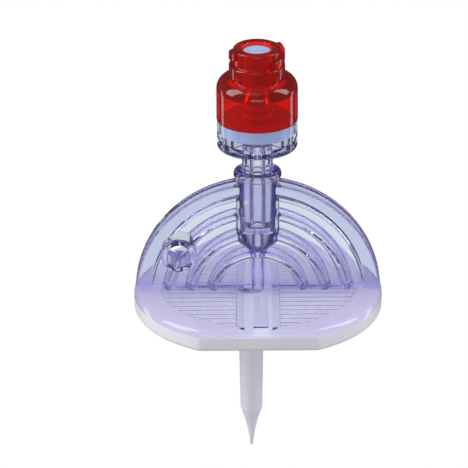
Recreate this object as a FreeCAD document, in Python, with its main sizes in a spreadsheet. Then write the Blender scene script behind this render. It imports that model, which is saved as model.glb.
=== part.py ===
import FreeCAD, Part
import Sketcher
import math
import os
import re

# Vented dispensing spike with a needle-free valve, in millimetres.
# The origin is on the spike's axis where the spike leaves the underside of the plate.
# +Z is up, the spike points down, and the grip wall stands in the plane Y = 0.

DRIVING_SIZES = {
    # Round plate with two flats, shared by the white base and the clear cover
    "plate_radius": 17.4,
    "flat_reach": 15.3,
    "flat_corner_radius": 0.8,
    "hub_offset": 1.0,
    # White base and spike
    "base_thickness": 2.1,
    "base_edge_radius": 0.5,
    "spike_radius": 1.7,
    "shank_length": 6.0,
    "spike_end_radius": 1.53,
    "spike_body_length": 15.7,
    "spike_length": 21.8,
    "spike_hollow_radius": 21.5,
    "tip_radius": 0.22,
    "lumen_radius": 0.5,
    "lumen_spacing": 1.5,
    "lumen_tail": 0.4,
    "eye_length": 1.8,
    "eye_width": 0.8,
    # Air filter between base and cover
    "field_radius": 13.6,
    "membrane_reach": 3.0,
    "membrane_thickness": 0.2,
    "membrane_lap": 0.8,
    "membrane_clearance": 0.06,
    "chamber_floor": 1.0,
    "support_pitch": 2.4,
    "support_width": 0.5,
    "air_channel_width": 0.9,
    "link_offset": 3.6,
    # Clear cover plate
    "cover_thickness": 1.25,
    "cover_edge_radius": 1.05,
    "floor_radius": 14.0,
    "floor_step": 0.25,
    "floor_edge_radius": 0.2,
    "collector_reach": 1.95,
    "cover_rib_start": 2.8,
    "cover_rib_pitch": 1.4,
    "cover_rib_width": 0.55,
    "cover_rib_depth": 0.45,
    "vent_width": 2.1,
    "vent_offset": 0.7,
    "vent_length": 0.9,
    "vent_margin": 0.8,
    "spigot_radius": 1.8,
    "spigot_depth": 0.8,
    "spigot_clearance": 0.04,
    # Grip wall
    "wall_inset": 0.2,
    "wall_thickness": 1.4,
    "rim_width": 2.2,
    "rim_reach": 1.8,
    "rim_round": 0.25,
    "grip_rib_reach": 1.65,
    "grip_rib_width": 0.95,
    "grip_rib_pitch": 3.03,
    "grip_rib_round": 0.35,
    # Hub with the female luer socket
    "hub_radius": 3.1,
    "hub_height": 19.0,
    "hub_foot_height": 8.5,
    "hub_collar_radius": 3.35,
    "hub_collar_height": 1.1,
    "hub_edge_radius": 0.6,
    "down_tube_radius": 1.25,
    "liquid_bore_radius": 0.55,
    "luer_mouth_radius": 2.135,
    "luer_taper": 0.03,
    "socket_depth": 9.0,
    # Side boss on the grip wall
    "boss_radius": 2.5,
    "boss_bore_radius": 1.65,
    "boss_offset": 11.05,
    "boss_height": 7.4,
    "boss_reach": 4.0,
    "boss_edge_radius": 0.3,
    # Valve, lower housing
    "luer_engagement": 8.3,
    "luer_clearance": 0.02,
    "valve_neck_length": 3.65,
    "valve_radius": 5.6,
    "valve_lower_height": 4.15,
    "valve_edge_radius": 0.3,
    "male_bore_radius": 0.75,
    "flange_radius": 5.15,
    "flange_thickness": 1.8,
    "flange_clearance": 0.05,
    "pocket_floor": 1.05,
    "pocket_radius": 4.5,
    "seat_rib_width": 0.5,
    "cannula_radius": 0.9,
    "cannula_bore_radius": 0.45,
    "cannula_height": 9.85,
    # Valve, upper housing
    "cap_radius": 5.68,
    "cap_height": 10.6,
    "shoulder_radius": 1.76,
    "neck_height": 2.3,
    "neck_collar_height": 2.0,
    "neck_radius": 3.34,
    "thread_radius": 3.92,
    "thread_lead": 5.0,
    "thread_sweep": 90.0,
    "thread_turn": 12.0,
    "thread_root_width": 1.6,
    "thread_crest_width": 1.1,
    "thread_drop": 1.25,
    "neck_edge_radius": 0.25,
    "port_depth": 5.5,
    "chamber_radius": 4.85,
    "chamber_cone_height": 0.9,
    # Silicone piston
    "head_radius": 2.05,
    "head_recess": 0.5,
    "head_edge_radius": 0.2,
    "head_roof_thickness": 3.4,
    "head_cavity_radius": 1.05,
    "bellows_radius": 2.3,
    "bellows_fold_depth": 0.4,
    "bellows_wall": 0.6,
    "bellows_gap": 0.3,
    "slit_length": 2.4,
    "slit_width": 0.08,
}

GRIP_RIBS = 3
SEAT_RIBS = 8
THREAD_STARTS = 2
BELLOWS_FOLDS = 3
SMALLEST_CHANGE = 1e-4
PLACE_TOLERANCE = 1e-3

doc = FreeCAD.newDocument("dispensing_spike")
sheet = doc.addObject("Spreadsheet::Sheet", "Sizes")
for row, (alias, value) in enumerate(DRIVING_SIZES.items(), start=1):
    sheet.set(f"A{row}", alias)
    sheet.set(f"B{row}", str(value))
    sheet.setAlias(f"B{row}", alias)
doc.recompute()


def bound(expression):
    """The expression with every size's name pointing at its cell of the sheet."""
    def cell(match):
        word = match.group(0)
        return "Sizes." + word if word in DRIVING_SIZES else word
    return re.sub(r"[a-z_]+", cell, str(expression))


def worth(expression):
    """What the expression is worth with the sizes as they are."""
    return float(sheet.evalExpression(bound(expression)))


def new_body(name, x="0", z="0"):
    body = doc.addObject("PartDesign::Body", name)
    body.Label = name
    body.setExpression("Placement.Base.x", bound(x))
    body.setExpression("Placement.Base.z", bound(z))
    return body


def origin_feature(body, role):
    return next(f for f in body.Origin.OriginFeatures if f.Role == role)


def new_sketch(body, name, plane, lift="0"):
    """A sketch on one of the body's own planes, lifted along the plane's normal."""
    sketch = body.newObject("Sketcher::SketchObject", name)
    sketch.AttachmentSupport = (origin_feature(body, plane), [""])
    sketch.MapMode = "FlatFace"
    sketch.setExpression("AttachmentOffset.Base.z", bound(lift))
    return sketch


def bind(sketch, constraint, expression):
    sketch.setExpression(f"Constraints[{sketch.addConstraint(constraint)}]", bound(expression))


def pin_point(sketch, geometry, end, across, along):
    """Holds one point of a line, arc or circle at the place that two expressions give."""
    for kind, axis, expression in (("DistanceX", -2, across), ("DistanceY", -1, along)):
        if expression == "0":
            sketch.addConstraint(Sketcher.Constraint("PointOnObject", geometry, end, axis))
        else:
            bind(sketch, Sketcher.Constraint(kind, -1, 1, geometry, end, worth(expression)), expression)


def add_edge(sketch, start, end, radius, side):
    """Draws a line, or an arc that bulges to one side of its chord, and says which of
    its ends is which."""
    if radius is None:
        return sketch.addGeometry(Part.LineSegment(start, end)), 1, 2
    chord = end - start
    to_left = FreeCAD.Vector(-chord.y, chord.x, 0).normalize()
    rise = math.sqrt(max(radius ** 2 - (chord.Length / 2) ** 2, 0))
    centre = (start + end) / 2 + to_left * (rise if side == "right" else -rise)
    first, last = (start, end) if side == "right" else (end, start)
    angles = [math.atan2(point.y - centre.y, point.x - centre.x) for point in (first, last)]
    circle = Part.Circle(centre, FreeCAD.Vector(0, 0, 1), radius)
    arc = sketch.addGeometry(Part.ArcOfCircle(circle, *angles))
    return (arc, 1, 2) if side == "right" else (arc, 2, 1)


def add_loop(sketch, corners):
    """A closed outline. A corner is (across, along), or (across, along, radius, side)
    where the edge that leaves it is an arc of that radius."""
    places = [FreeCAD.Vector(worth(corner[0]), worth(corner[1]), 0) for corner in corners]
    edges = []
    for index, corner in enumerate(corners):
        radius, side = (worth(corner[2]), corner[3]) if len(corner) == 4 else (None, None)
        edges.append(add_edge(sketch, places[index], places[(index + 1) % len(places)], radius, side))
    for index, (corner, edge) in enumerate(zip(corners, edges)):
        before = edges[index - 1]
        sketch.addConstraint(Sketcher.Constraint("Coincident", before[0], before[2], edge[0], edge[1]))
        pin_point(sketch, edge[0], edge[1], corner[0], corner[1])
    for corner, edge in zip(corners, edges):
        if len(corner) == 4:
            bind(sketch, Sketcher.Constraint("Radius", edge[0], worth(corner[2])), corner[2])


def add_circle(sketch, across, along, radius):
    centre = FreeCAD.Vector(worth(across), worth(along), 0)
    circle = sketch.addGeometry(Part.Circle(centre, FreeCAD.Vector(0, 0, 1), worth(radius)))
    pin_point(sketch, circle, 3, across, along)
    bind(sketch, Sketcher.Constraint("Radius", circle, worth(radius)), radius)


def rectangle(low_x, low_y, high_x, high_y):
    return [(low_x, low_y), (high_x, low_y), (high_x, high_y), (low_x, high_y)]


def volume_now(body):
    doc.recompute()
    return body.Tip.Shape.Volume if body.Tip is not None else 0.0


def check_change(body, before, adds):
    """A feature that points the wrong way shows no error, so the volume is compared."""
    change = volume_now(body) - before
    if (change if adds else -change) < SMALLEST_CHANGE:
        raise RuntimeError(f"{body.Tip.Label} changed the volume by {change}")


def extrude(body, name, kind, sketch, length, flipped=False, midplane=False):
    """A Pad or a Pocket. A Pad follows the sketch's normal and a Pocket opposes it,
    unless flipped."""
    before = volume_now(body)
    feature = body.newObject("PartDesign::" + kind, name)
    feature.Profile = sketch
    feature.Reversed = flipped
    if midplane:
        feature.SideType = "Symmetric"
    feature.setExpression("Length", bound(length))
    check_change(body, before, kind == "Pad")
    return feature


def turn(body, name, kind, sketch, axis="V_Axis", angle=360, midplane=False):
    """A Revolution or a Groove about one of the sketch's axes."""
    before = volume_now(body)
    feature = body.newObject("PartDesign::" + kind, name)
    feature.Profile = sketch
    feature.ReferenceAxis = (sketch, [axis])
    feature.Angle = angle
    feature.Midplane = midplane
    check_change(body, before, kind == "Revolution")
    return feature


def fillet(body, name, radius, wanted):
    """Rounds the edges of the body's last feature for which wanted(edge) holds."""
    doc.recompute()
    base = body.Tip
    names = [f"Edge{n}" for n, edge in enumerate(base.Shape.Edges, start=1) if wanted(edge)]
    if not names:
        raise RuntimeError(f"{name} found no edge")
    feature = body.newObject("PartDesign::Fillet", name)
    feature.Base = (base, names)
    feature.setExpression("Radius", bound(radius))
    doc.recompute()


def near(value, expression):
    return abs(value - worth(expression)) < PLACE_TOLERANCE


def is_level_at(edge, height):
    return edge.BoundBox.ZLength < PLACE_TOLERANCE and near(edge.BoundBox.ZMin, height)


def is_upright(edge):
    return max(edge.BoundBox.XLength, edge.BoundBox.YLength) < PLACE_TOLERANCE


def row_of(body, name, feature, sketch, axis, length, count):
    pattern = body.newObject("PartDesign::LinearPattern", name)
    pattern.Originals = [feature]
    pattern.Direction = (sketch, [axis])
    pattern.setExpression("Length", bound(length))
    pattern.Occurrences = count
    body.Tip = pattern
    doc.recompute()


def ring_of(body, name, feature, count):
    pattern = body.newObject("PartDesign::PolarPattern", name)
    pattern.Originals = [feature]
    pattern.Axis = (origin_feature(body, "Z_Axis"), [""])
    pattern.Angle = 360
    pattern.Occurrences = count
    body.Tip = pattern
    doc.recompute()


def copies_within(reach, pitch):
    """An odd number of copies at this pitch, the same each side of the middle one."""
    return 2 * int(worth(f"({reach}) / {pitch}")) + 1


def plate_outline(centre_x):
    """The plate from above: a circle with a flat at the front and one at the back."""
    half_flat = "sqrt(plate_radius^2 - flat_reach^2)"
    right, left = f"{centre_x} + {half_flat}", f"{centre_x} - {half_flat}"
    return [
        (right, "-flat_reach", "plate_radius", "right"),
        (right, "flat_reach"),
        (left, "flat_reach", "plate_radius", "right"),
        (left, "-flat_reach"),
    ]


def field_outline(centre_x, side, radius, reach):
    """A D-shaped field on the + or - side of the middle strip."""
    straight = f"{centre_x} {side} ({reach})"
    half_length = f"sqrt(({radius})^2 - ({reach})^2)"
    bulge = "right" if side == "+" else "left"
    return [
        (straight, f"-{half_length}", radius, bulge),
        (f"{centre_x} {side} ({radius})", "0", radius, bulge),
        (straight, half_length),
    ]


def trim_round_plate(body, name, plane_lift, centre_x, length, flipped):
    """Takes away the ends of a row of ribs that stand out past the plate's outline."""
    beyond = new_sketch(body, name + "_outline", "XY_Plane", plane_lift)
    add_loop(beyond, plate_outline(centre_x))
    add_circle(beyond, centre_x, "0", "2 * plate_radius")
    extrude(body, name, "Pocket", beyond, length, flipped)


def spike_base():
    """White one-piece moulding: plate, filter chambers and hollow spike."""
    body = new_body("spike_base")
    seat_height = "(base_thickness - membrane_thickness)"
    chamber_radius = "(field_radius - membrane_lap)"
    chamber_reach = "(membrane_reach + membrane_lap)"
    chamber_depth = f"({seat_height} - chamber_floor)"

    outline = new_sketch(body, "base_outline", "XY_Plane")
    add_loop(outline, plate_outline("hub_offset"))
    extrude(body, "base_plate", "Pad", outline, "base_thickness")
    fillet(body, "base_corners", "flat_corner_radius", is_upright)
    fillet(body, "base_lower_edge", "base_edge_radius", lambda edge: is_level_at(edge, "0"))

    seats = new_sketch(body, "membrane_seats", "XY_Plane", "base_thickness")
    chambers = new_sketch(body, "filter_chambers", "XY_Plane", seat_height)
    for side in "+-":
        add_loop(seats, field_outline("hub_offset", side, "field_radius", "membrane_reach"))
        add_loop(chambers, field_outline("hub_offset", side, chamber_radius, chamber_reach))
    extrude(body, "seat_recess", "Pocket", seats, "membrane_thickness")
    extrude(body, "chamber_recess", "Pocket", chambers, chamber_depth)

    count = copies_within(f"{chamber_radius} - support_width", "support_pitch")
    row_length = f"({count - 1} * support_pitch)"
    first_x = f"hub_offset - {row_length} / 2"
    support = new_sketch(body, "support_rib", "XY_Plane", "chamber_floor")
    add_loop(support, rectangle(f"{first_x} - support_width / 2", "-plate_radius",
                                f"{first_x} + support_width / 2", "plate_radius"))
    rib = extrude(body, "support_ribs", "Pad", support, chamber_depth)
    row_of(body, "support_row", rib, support, "H_Axis", row_length, count)
    trim_round_plate(body, "support_trim", seat_height, "hub_offset", chamber_depth, False)

    section = new_sketch(body, "spike_section", "XZ_Plane")
    add_loop(section, [
        ("0", "chamber_floor"),
        ("spike_radius", "chamber_floor"),
        ("spike_radius", "-shank_length"),
        ("spike_end_radius", "-spike_body_length", "spike_hollow_radius", "right"),
        ("tip_radius", "tip_radius - spike_length", "tip_radius", "left"),
        ("0", "-spike_length"),
    ])
    turn(body, "spike", "Revolution", section)

    well = new_sketch(body, "spigot_well_circle", "XY_Plane", "base_thickness")
    add_circle(well, "0", "0", "spigot_radius + spigot_clearance")
    extrude(body, "spigot_well", "Pocket", well, "spigot_depth")
    air_depth = "(base_thickness - chamber_floor)"
    channel = new_sketch(body, "air_channel_outline", "XY_Plane", "base_thickness")
    add_loop(channel, rectangle(f"{first_x} + support_pitch / 2", "-air_channel_width / 2",
                                "0", "air_channel_width / 2"))
    extrude(body, "air_channel", "Pocket", channel, air_depth)
    link = new_sketch(body, "chamber_link_outline", "XY_Plane", "base_thickness")
    add_loop(link, rectangle(f"{first_x} + support_pitch / 2", "link_offset",
                             f"{first_x} + {row_length} - support_pitch / 2",
                             "link_offset + air_channel_width"))
    extrude(body, "chamber_link", "Pocket", link, air_depth)

    lumens = new_sketch(body, "lumen_circles", "XY_Plane", "base_thickness")
    eyes = new_sketch(body, "eye_slots", "XZ_Plane")
    for middle in ("lumen_spacing / 2", "-lumen_spacing / 2"):
        add_circle(lumens, middle, "0", "lumen_radius")
        add_loop(eyes, rectangle(f"{middle} - eye_width / 2", "-spike_body_length",
                                 f"{middle} + eye_width / 2", "eye_length - spike_body_length"))
    extrude(body, "lumens", "Pocket", lumens, "base_thickness + spike_body_length + lumen_tail")
    extrude(body, "eyes", "Pocket", eyes, "spike_radius")
    return body


def filter_membrane(name, side):
    """Thin D-shaped air filter that lies on its ledge and on the support ribs."""
    body = new_body(name, "hub_offset", "base_thickness - membrane_thickness")
    outline = new_sketch(body, name + "_outline", "XY_Plane")
    add_loop(outline, field_outline("0", side, "field_radius - membrane_clearance",
                                    "membrane_reach + membrane_clearance"))
    extrude(body, name + "_sheet", "Pad", outline, "membrane_thickness")
    return body


def rib_steps(inner, outer, top, rounding):
    """A rounded rib's section on one face of the wall, between two radii."""
    return [
        ("wall_thickness / 2", inner),
        (f"{top} - {rounding}", inner, rounding, "right"),
        (top, f"{inner} + {rounding}"),
        (top, f"{outer} - {rounding}", rounding, "right"),
        (f"{top} - {rounding}", outer),
    ]


def grip_wall_section():
    """The wall from its middle plane to one face, and from its centre to its rim."""
    face, outside = "wall_thickness / 2", "plate_radius - wall_inset"
    rim = f"{outside} - rim_width"
    corners = [("0", "0"), (face, "0")]
    for step in range(GRIP_RIBS, 0, -1):
        inner = f"{rim} - {step} * grip_rib_pitch"
        corners += rib_steps(inner, f"{inner} + grip_rib_width", "grip_rib_reach", "grip_rib_round")
        corners.append((face, f"{inner} + grip_rib_width"))
    corners += rib_steps(rim, outside, "rim_reach", "rim_round")
    corners.append(("0", outside))
    return corners


def cover_plate(body):
    """Plate with a soft outer edge, and a shallow round floor inside a raised band."""
    outline = new_sketch(body, "cover_outline", "XY_Plane")
    add_loop(outline, plate_outline("0"))
    extrude(body, "cover_plate", "Pad", outline, "cover_thickness")
    fillet(body, "cover_corners", "flat_corner_radius", is_upright)
    fillet(body, "cover_upper_edge", "cover_edge_radius", lambda edge: is_level_at(edge, "cover_thickness"))
    floor = new_sketch(body, "cover_floor_section", "XZ_Plane")
    add_loop(floor, [
        ("0", "cover_thickness - floor_step"),
        ("floor_radius", "cover_thickness - floor_step"),
        ("floor_radius", "cover_thickness - floor_edge_radius", "floor_edge_radius", "left"),
        ("floor_radius + floor_edge_radius", "cover_thickness"),
        ("0", "cover_thickness"),
    ])
    turn(body, "cover_floor", "Groove", floor)


def grip_wall(body):
    """Half disc with a thick rim and concentric ribs, the same on both faces."""
    wall = new_sketch(body, "grip_wall_section", "YZ_Plane")
    add_loop(wall, grip_wall_section())
    half = turn(body, "grip_wall_half", "Revolution", wall, "H_Axis", 180, True)
    mirror = body.newObject("PartDesign::Mirrored", "grip_wall")
    mirror.Originals = [half]
    mirror.MirrorPlane = (origin_feature(body, "XZ_Plane"), [""])
    body.Tip = mirror
    doc.recompute()


def hub(body):
    """Upright hub with its collar, and the thin tube that leads down to the plate."""
    section = new_sketch(body, "hub_section", "XZ_Plane")
    collar_foot = "hub_height - hub_collar_height"
    add_loop(section, [
        ("0", "cover_rib_depth"),
        ("down_tube_radius", "cover_rib_depth"),
        ("down_tube_radius", "hub_foot_height - hub_radius + down_tube_radius"),
        ("hub_radius", "hub_foot_height"),
        ("hub_radius", collar_foot),
        ("hub_collar_radius", f"{collar_foot} + hub_collar_radius - hub_radius"),
        ("hub_collar_radius", "hub_height - hub_edge_radius", "hub_edge_radius", "right"),
        ("hub_collar_radius - hub_edge_radius", "hub_height"),
        ("0", "hub_height"),
    ])
    turn(body, "hub", "Revolution", section)


def side_boss(body):
    """Short tube that stands on the wall's front face, bored through the wall."""
    boss = new_sketch(body, "boss_circle", "XZ_Plane")
    add_circle(boss, "-boss_offset", "boss_height", "boss_radius")
    extrude(body, "boss", "Pad", boss, "boss_reach")
    fillet(body, "boss_edge", "boss_edge_radius",
           lambda edge: near(edge.BoundBox.YMin, "-boss_reach") and near(edge.BoundBox.YMax, "-boss_reach"))
    bore = new_sketch(body, "boss_bore_circle", "XZ_Plane")
    add_circle(bore, "-boss_offset", "boss_height", "boss_bore_radius")
    extrude(body, "boss_bore", "Pocket", bore, "2 * (boss_reach + wall_thickness)", midplane=True)


def cover_underside(body):
    """Ribbed fields over the filters, the collector beside the strip, and the vent."""
    fields = new_sketch(body, "rib_fields", "XY_Plane")
    for side in "+-":
        add_loop(fields, field_outline("0", side, "field_radius", "collector_reach"))
    extrude(body, "rib_field_recess", "Pocket", fields, "cover_rib_depth", flipped=True)

    count = copies_within("field_radius - cover_rib_width", "cover_rib_pitch")
    row_length = f"({count - 1} * cover_rib_pitch)"
    rib = new_sketch(body, "cover_rib", "XY_Plane")
    low, high = (f"{sign} cover_rib_width / 2 - {row_length} / 2" for sign in ("-", ""))
    add_loop(rib, rectangle("cover_rib_start", low, "plate_radius", high))
    add_loop(rib, rectangle("-plate_radius", low, "-cover_rib_start", high))
    first = extrude(body, "cover_ribs", "Pad", rib, "cover_rib_depth")
    row_of(body, "cover_rib_row", first, rib, "V_Axis", row_length, count)
    trim_round_plate(body, "cover_rib_trim", "0", "0", "cover_rib_depth", True)

    channel = new_sketch(body, "vent_channel_outline", "XY_Plane")
    add_loop(channel, [
        ("-vent_offset", "vent_margin - flat_reach"),
        ("vent_width - vent_offset", "vent_margin - flat_reach"),
        ("vent_width - vent_offset", "-spigot_radius - 2 * vent_length"),
        ("cover_rib_start", "-spigot_radius - 2 * vent_length"),
        ("cover_rib_start", "-spigot_radius - vent_length"),
        ("-cover_rib_start", "-spigot_radius - vent_length"),
        ("-cover_rib_start", "-spigot_radius - 2 * vent_length"),
        ("-vent_offset", "-spigot_radius - 2 * vent_length"),
    ])
    extrude(body, "vent_channel", "Pocket", channel, "cover_rib_depth", flipped=True)
    vent = new_sketch(body, "vent_outline", "XY_Plane", "cover_rib_depth")
    add_loop(vent, rectangle("-vent_offset", "vent_margin - flat_reach",
                             "vent_width - vent_offset", "vent_margin + vent_length - flat_reach"))
    extrude(body, "vent", "Pocket", vent, "cover_thickness - cover_rib_depth", flipped=True)


def liquid_way(body):
    """Spigot that enters the base, and the bore from it up to the tapered luer socket."""
    spigot = new_sketch(body, "spigot_circle", "XY_Plane", "cover_rib_depth")
    add_circle(spigot, "-hub_offset", "0", "spigot_radius")
    extrude(body, "spigot", "Pad", spigot, "spigot_depth + cover_rib_depth", flipped=True)
    socket = new_sketch(body, "socket_section", "XZ_Plane")
    add_loop(socket, [
        ("0", "-spigot_depth"),
        ("liquid_bore_radius", "-spigot_depth"),
        ("liquid_bore_radius", "hub_height - socket_depth"),
        ("luer_mouth_radius - luer_taper * socket_depth", "hub_height - socket_depth"),
        ("luer_mouth_radius", "hub_height"),
        ("0", "hub_height"),
    ])
    turn(body, "luer_socket", "Groove", socket)


def cover_shell():
    """Clear one-piece moulding: cover plate, grip wall, hub and side boss."""
    body = new_body("cover_shell", "hub_offset", "base_thickness")
    cover_plate(body)
    grip_wall(body)
    hub(body)
    side_boss(body)
    cover_underside(body)
    liquid_way(body)
    return body


def valve_base():
    """Clear lower housing: male luer, ribbed seat for the piston's flange, and cannula."""
    body = new_body("valve_base", "hub_offset", "base_thickness + hub_height + valve_neck_length")
    seat_height = "(valve_lower_height - flange_thickness)"
    male_end = "(-valve_neck_length - luer_engagement)"
    section = new_sketch(body, "valve_base_section", "XZ_Plane")
    add_loop(section, [
        ("0", male_end),
        ("luer_mouth_radius - luer_taper * luer_engagement - luer_clearance", male_end),
        ("luer_mouth_radius + luer_taper * valve_neck_length - luer_clearance", "0"),
        ("valve_radius - valve_edge_radius", "0", "valve_edge_radius", "right"),
        ("valve_radius", "valve_edge_radius"),
        ("valve_radius", "valve_lower_height"),
        ("flange_radius + flange_clearance", "valve_lower_height"),
        ("flange_radius + flange_clearance", seat_height),
        ("pocket_radius", seat_height),
        ("pocket_radius", "pocket_floor"),
        ("cannula_radius", "pocket_floor"),
        ("cannula_radius", "cannula_height"),
        ("0", "cannula_height"),
    ])
    turn(body, "valve_base_turned", "Revolution", section)
    rib = new_sketch(body, "seat_rib", "XY_Plane", "pocket_floor")
    add_loop(rib, rectangle("0", "-seat_rib_width / 2",
                            "(pocket_radius + flange_radius) / 2", "seat_rib_width / 2"))
    first = extrude(body, "seat_ribs", "Pad", rib, f"{seat_height} - pocket_floor")
    ring_of(body, "seat_rib_ring", first, SEAT_RIBS)
    bore = new_sketch(body, "valve_bore_section", "XZ_Plane")
    add_loop(bore, [
        ("0", male_end),
        ("male_bore_radius", male_end),
        ("male_bore_radius", "0"),
        ("cannula_bore_radius", "pocket_floor"),
        ("cannula_bore_radius", "cannula_height"),
        ("0", "cannula_height"),
    ])
    turn(body, "valve_bore", "Groove", bore)
    return body


def valve_cap():
    """Red upper housing: skirt, round shoulder, threaded luer neck and tapered port."""
    body = new_body("valve_cap", "hub_offset",
                    "base_thickness + hub_height + valve_neck_length + valve_lower_height")
    collar_top = "(cap_height - neck_height)"
    skirt_top = f"({collar_top} - neck_collar_height - shoulder_radius)"
    section = new_sketch(body, "valve_cap_section", "XZ_Plane")
    add_loop(section, [
        ("chamber_radius", "0"),
        ("cap_radius", "0"),
        ("cap_radius", skirt_top, "shoulder_radius", "right"),
        ("cap_radius - shoulder_radius", f"{skirt_top} + shoulder_radius"),
        ("cap_radius - shoulder_radius", collar_top),
        ("neck_radius", collar_top),
        ("neck_radius", "cap_height - neck_edge_radius", "neck_edge_radius", "right"),
        ("neck_radius - neck_edge_radius", "cap_height"),
        ("luer_mouth_radius", "cap_height"),
        ("luer_mouth_radius - luer_taper * port_depth", "cap_height - port_depth"),
        ("chamber_radius", "cap_height - port_depth - chamber_cone_height"),
    ])
    turn(body, "valve_cap_turned", "Revolution", section)

    thread = new_sketch(body, "thread_section", "XZ_Plane")
    start_turn = FreeCAD.Rotation(FreeCAD.Vector(0, 1, 0), -worth("thread_sweep / 2 + thread_turn"))
    thread.AttachmentOffset = FreeCAD.Placement(FreeCAD.Vector(0, 0, 0), start_turn)
    middle = "(cap_height - thread_drop - thread_lead * thread_sweep / 720)"
    root = "(neck_radius - neck_edge_radius)"
    add_loop(thread, [
        (root, f"{middle} - thread_root_width / 2"),
        ("thread_radius", f"{middle} - thread_crest_width / 2"),
        ("thread_radius", f"{middle} + thread_crest_width / 2"),
        (root, f"{middle} + thread_root_width / 2"),
    ])
    before = volume_now(body)
    lug = body.newObject("PartDesign::AdditiveHelix", "thread_lug")
    lug.Profile = thread
    lug.ReferenceAxis = (thread, ["V_Axis"])
    lug.setExpression("Pitch", bound("thread_lead"))
    lug.setExpression("Height", bound("thread_lead * thread_sweep / 360"))
    check_change(body, before, True)
    ring_of(body, "thread_lugs", lug, THREAD_STARTS)
    above = new_sketch(body, "thread_top_circle", "XY_Plane", "cap_height")
    add_circle(above, "0", "0", "cap_radius")
    extrude(body, "thread_top", "Pocket", above, "thread_root_width", flipped=True)
    return body


def valve_piston():
    """Silicone piston: clamped flange, thin bellows and slit head that closes the port."""
    body = new_body("valve_piston", "hub_offset",
                    "base_thickness + hub_height + valve_neck_length + valve_lower_height - flange_thickness")
    top = "(flange_thickness + cap_height - head_recess)"
    bellows_top = "(flange_thickness + cap_height - port_depth - chamber_cone_height - bellows_gap)"
    head_foot = f"({bellows_top} + chamber_cone_height)"
    fold = f"(({bellows_top} - flange_thickness) / {BELLOWS_FOLDS})"
    waist = "(bellows_radius - bellows_fold_depth)"
    outside = [("flange_radius", "0"), ("flange_radius", "flange_thickness"), (waist, "flange_thickness")]
    inside = [(f"{waist} - bellows_wall", "0"), (f"{waist} - bellows_wall", "flange_thickness")]
    for index in range(BELLOWS_FOLDS):
        crest = f"flange_thickness + {index + 0.5} * {fold}"
        valley = f"flange_thickness + {index + 1} * {fold}"
        outside += [("bellows_radius", crest), (waist, valley)]
        inside += [("bellows_radius - bellows_wall", crest), (f"{waist} - bellows_wall", valley)]
    outside += [
        (f"head_radius - luer_taper * ({top} - {head_foot})", head_foot),
        ("head_radius", f"{top} - head_edge_radius", "head_edge_radius", "right"),
        ("head_radius - head_edge_radius", top),
    ]
    inside += [("head_cavity_radius", head_foot), ("head_cavity_radius", f"{top} - head_roof_thickness")]
    section = new_sketch(body, "valve_piston_section", "XZ_Plane")
    add_loop(section, outside + [("0", top), ("0", f"{top} - head_roof_thickness")] + inside[::-1])
    turn(body, "valve_piston_turned", "Revolution", section)
    slit = new_sketch(body, "slit_outline", "XY_Plane", top)
    add_loop(slit, rectangle("-slit_length / 2", "-slit_width / 2", "slit_length / 2", "slit_width / 2"))
    extrude(body, "slit", "Pocket", slit, "head_roof_thickness")
    return body


def check_and_write(sub_parts):
    """Stops on a failed object or a bad shape, and writes each sub-part to its file."""
    doc.recompute()
    for item in doc.Objects:
        if {"Invalid", "Error"} & set(item.State):
            raise RuntimeError(f"{item.Label} did not compute: {item.State}")
    for item in sub_parts:
        if item.Shape.isNull() or not item.Shape.isValid():
            raise RuntimeError(f"{item.Label} has no valid shape")
    os.makedirs("parts", exist_ok=True)
    for item in sub_parts:
        item.Shape.exportStep(f"parts/{item.Label}.step")
        box = item.Shape.BoundBox
        print(f"{item.Label}: {len(item.Shape.Solids)} solid, {item.Shape.Volume:.1f} mm3, "
              f"x {box.XMin:.2f} to {box.XMax:.2f}, y {box.YMin:.2f} to {box.YMax:.2f}, "
              f"z {box.ZMin:.2f} to {box.ZMax:.2f}")


check_and_write([
    spike_base(),
    filter_membrane("filter_membrane_left", "-"),
    filter_membrane("filter_membrane_right", "+"),
    cover_shell(),
    valve_base(),
    valve_cap(),
    valve_piston(),
])
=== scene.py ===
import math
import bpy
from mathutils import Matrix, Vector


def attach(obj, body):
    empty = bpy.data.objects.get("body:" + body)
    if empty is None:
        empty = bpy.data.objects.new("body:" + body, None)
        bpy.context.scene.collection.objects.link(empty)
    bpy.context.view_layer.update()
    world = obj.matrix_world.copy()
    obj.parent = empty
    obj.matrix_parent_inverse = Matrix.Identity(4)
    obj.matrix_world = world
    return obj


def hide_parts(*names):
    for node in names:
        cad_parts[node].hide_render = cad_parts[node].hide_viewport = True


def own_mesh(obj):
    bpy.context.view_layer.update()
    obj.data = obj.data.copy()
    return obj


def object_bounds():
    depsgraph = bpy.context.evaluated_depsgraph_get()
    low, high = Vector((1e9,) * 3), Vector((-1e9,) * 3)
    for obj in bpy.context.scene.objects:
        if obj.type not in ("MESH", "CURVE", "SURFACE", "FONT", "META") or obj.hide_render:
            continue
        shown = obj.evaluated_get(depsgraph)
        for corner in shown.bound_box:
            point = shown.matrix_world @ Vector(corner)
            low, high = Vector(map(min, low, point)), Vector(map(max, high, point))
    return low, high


bl_info = {
    "name": "Vented dispensing spike",
    "version": (1, 0, 0),
    "blender": (4, 5, 0),
    "location": "View3D > Sidebar > Dispensing spike",
    "description": "Models a vented dispensing spike with a needle-free luer valve around its packed frame",
    "category": "Add Mesh",
}

import bmesh
import bpy
from mathutils import Matrix, Vector

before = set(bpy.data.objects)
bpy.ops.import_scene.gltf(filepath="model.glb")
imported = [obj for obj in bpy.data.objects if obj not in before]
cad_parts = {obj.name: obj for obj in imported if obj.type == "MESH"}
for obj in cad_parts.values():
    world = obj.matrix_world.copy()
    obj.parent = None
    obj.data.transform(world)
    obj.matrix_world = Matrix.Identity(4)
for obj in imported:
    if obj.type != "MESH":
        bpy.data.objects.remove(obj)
CAD_BOX = [list(corner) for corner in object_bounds()]

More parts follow.
